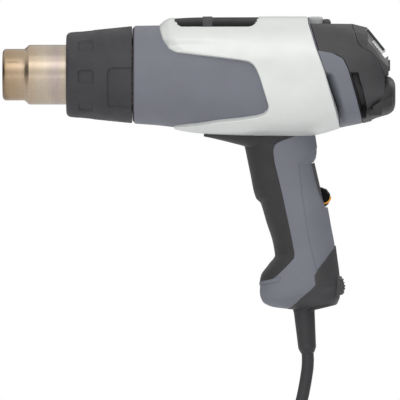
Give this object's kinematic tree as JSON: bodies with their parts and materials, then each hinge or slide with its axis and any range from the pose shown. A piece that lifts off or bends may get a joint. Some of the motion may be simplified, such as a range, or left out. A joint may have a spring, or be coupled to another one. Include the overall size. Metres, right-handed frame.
{
  "type": "heat gun",
  "caption": "Pistol-grip hot air gun with a stainless outlet tube, guard sleeve, panelled body, display and keypad, slide switch, and a coiled mains lead with plug.",
  "frame": {"origin": "middle of the hand grip, in the plane that divides the two casing halves", "axes": "+X points from the outlet back to the operator, along the barrel; +Y is the operator's left when the outlet points away; +Z runs from the grip up to the barrel"},
  "size_m": [0.2679, 0.087, 0.4734],
  "materials": {
    "tinted_steel": "stainless steel tinted tan and violet by heat",
    "charcoal_plastic": "matt heat-resistant moulding",
    "heat_insulation": "matt pressed fibre",
    "mica": "satin sheet mica",
    "heater_ceramic": "matt fired",
    "heating_wire": "oxidised wire",
    "bright_steel": "plain",
    "magnet": "matt sintered",
    "carbon": "matt carbon",
    "bronze": "sintered",
    "copper_winding": "enamelled copper and steel",
    "fan_plastic": "satin moulding",
    "blue_grey_plastic": "fine-grained moulding",
    "silver_plastic": "silver metallic lacquer",
    "black_gloss": "polished black",
    "clear_lens": "clear moulding",
    "black_plastic": "fine-grained black moulding",
    "display_glass": "dark tinted window",
    "circuit_board": "solder resist",
    "button_rubber": "satin",
    "soft_rubber": "matt soft-touch",
    "orange_mark": "inlaid",
    "terminal_plastic": "satin",
    "wire_insulation": "satin",
    "lead_rubber": "matt",
    "tie_plastic": "smooth",
    "plug_brass": "nickelled"
  },
  "bodies": {
    "casing": {"outlet_tube": "tinted_steel", "tube_mount": "heat_insulation", "mica_tube": "mica", "front_disc": "heater_ceramic", "rear_disc": "heater_ceramic", "heater_frame": "mica", "heating_coil": "heating_wire", "temperature_sensor": "bright_steel", "air_duct": "charcoal_plastic", "motor_can": "bright_steel", "motor_magnets": "magnet", "carbon_brushes": "carbon", "bearing_front": "bronze", "bearing_rear": "bronze", "housing_left": "blue_grey_plastic", "housing_right": "blue_grey_plastic", "cover_left": "silver_plastic", "cover_right": "silver_plastic", "top_windows": "black_gloss", "window_bar": "blue_grey_plastic", "indicator_lens": "clear_lens", "rear_cap": "black_plastic", "display_housing": "black_plastic", "display_trim": "silver_plastic", "display_lens": "display_glass", "display_module": "circuit_board", "control_board": "circuit_board", "power_board": "circuit_board", "rear_bumper": "soft_rubber", "grille_left": "black_plastic", "grille_right": "black_plastic", "grip_left": "soft_rubber", "grip_right": "soft_rubber", "switch_body": "black_plastic", "switch_frame": "black_plastic", "lead_module": "black_plastic", "terminal_block": "terminal_plastic", "lead_clamp": "black_plastic", "clamp_screws": "bright_steel", "inner_wires": "wire_insulation", "housing_screws": "bright_steel", "strain_relief": "lead_rubber", "cord_run": "lead_rubber", "cord_coil": "lead_rubber", "coil_tie": "tie_plastic", "plug_body": "lead_rubber", "plug_pins": "plug_brass"},
    "guard": {"guard_sleeve": "charcoal_plastic"},
    "rotor": {"motor_shaft": "bright_steel", "armature": "copper_winding", "commutator": "copper_winding", "impeller": "fan_plastic"},
    "slider": {"slide_knob": "black_gloss", "knob_mark": "orange_mark"},
    "key_1": {"button_1": "button_rubber"},
    "key_2": {"button_2": "button_rubber"},
    "key_3": {"button_3": "button_rubber"},
    "key_4": {"button_4": "button_rubber"},
    "catch": {"module_catch": "black_plastic"}
  },
  "joints": [
    {"name": "guard_slide", "type": "slide", "parent": "casing", "child": "guard", "axis": [-1, 0, 0], "range_m": [0, 0.09]},
    {"name": "fan_spin", "type": "hinge", "parent": "casing", "child": "rotor", "pos_m": [0, 0, 0.086], "axis": [1, 0, 0], "continuous": true},
    {"name": "power_slide", "type": "slide", "parent": "casing", "child": "slider", "axis": [-0.225, 0, 0.9744], "range_m": [0, 0.014]},
    {"name": "key_1_press", "type": "slide", "parent": "casing", "child": "key_1", "axis": [-1, 0, 0], "range_m": [0, 0.001], "stiffness_N_per_m": 400},
    {"name": "key_2_press", "type": "slide", "parent": "casing", "child": "key_2", "axis": [-1, 0, 0], "range_m": [0, 0.001], "stiffness_N_per_m": 400},
    {"name": "key_3_press", "type": "slide", "parent": "casing", "child": "key_3", "axis": [-1, 0, 0], "range_m": [0, 0.001], "stiffness_N_per_m": 400},
    {"name": "key_4_press", "type": "slide", "parent": "casing", "child": "key_4", "axis": [-1, 0, 0], "range_m": [0, 0.001], "stiffness_N_per_m": 400},
    {"name": "catch_press", "type": "slide", "parent": "casing", "child": "catch", "axis": [-0.9744, 0, -0.225], "range_m": [0, 0.0015], "stiffness_N_per_m": 800}
  ]
}
